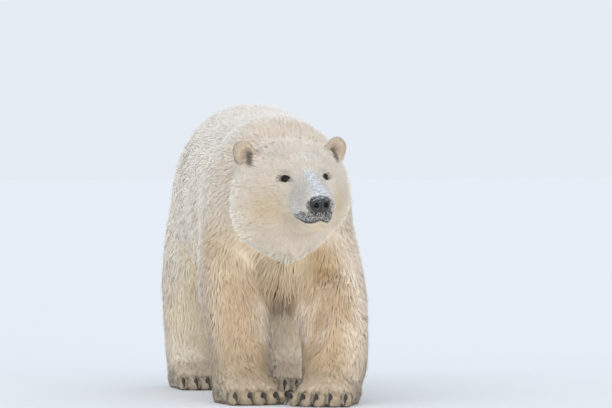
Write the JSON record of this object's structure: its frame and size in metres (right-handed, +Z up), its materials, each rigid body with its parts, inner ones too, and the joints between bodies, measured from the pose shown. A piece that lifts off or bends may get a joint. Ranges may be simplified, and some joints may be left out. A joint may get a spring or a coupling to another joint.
{
  "type": "polar bear",
  "caption": "Life-size polar bear standing in mid-stride on four broad paws, head low and turned a little to its left, mouth closed, cream-white coat.",
  "frame": {"origin": "centre of the bounding box on the floor, under the middle of the bear, at the level of the soles", "axes": "+Z up; the bear faces -Y; +X is its left side"},
  "size_m": [0.6032, 1.8892, 1.0142],
  "materials": {
    "coat": "long dense cream-white fur, warmer in the folds and shaded places",
    "nose_leather": "black, finely pebbled, moist",
    "eye": "very dark brown, wet and clear",
    "claw_horn": "black horn, slightly worn"
  },
  "bodies": {
    "root": {"head": "coat", "jaw": "coat", "neck": "coat", "trunk": "coat", "tail": "coat", "ear_left": "coat", "ear_right": "coat", "upper_foreleg_left": "coat", "lower_foreleg_left": "coat", "forepaw_left": "coat", "upper_foreleg_right": "coat", "lower_foreleg_right": "coat", "forepaw_right": "coat", "upper_hindleg_left": "coat", "lower_hindleg_left": "coat", "hindpaw_left": "coat", "upper_hindleg_right": "coat", "lower_hindleg_right": "coat", "hindpaw_right": "coat", "nose": "nose_leather", "eye_left": "eye", "eye_right": "eye", "claw_forepaw_right_1": "claw_horn", "claw_forepaw_right_2": "claw_horn", "claw_forepaw_right_3": "claw_horn", "claw_forepaw_right_4": "claw_horn", "claw_forepaw_right_5": "claw_horn", "claw_forepaw_left_1": "claw_horn", "claw_forepaw_left_2": "claw_horn", "claw_forepaw_left_3": "claw_horn", "claw_forepaw_left_4": "claw_horn", "claw_forepaw_left_5": "claw_horn", "claw_hindpaw_right_1": "claw_horn", "claw_hindpaw_right_2": "claw_horn", "claw_hindpaw_right_3": "claw_horn", "claw_hindpaw_right_4": "claw_horn", "claw_hindpaw_right_5": "claw_horn", "claw_hindpaw_left_1": "claw_horn", "claw_hindpaw_left_2": "claw_horn", "claw_hindpaw_left_3": "claw_horn", "claw_hindpaw_left_4": "claw_horn", "claw_hindpaw_left_5": "claw_horn"}
  },
  "joints": []
}
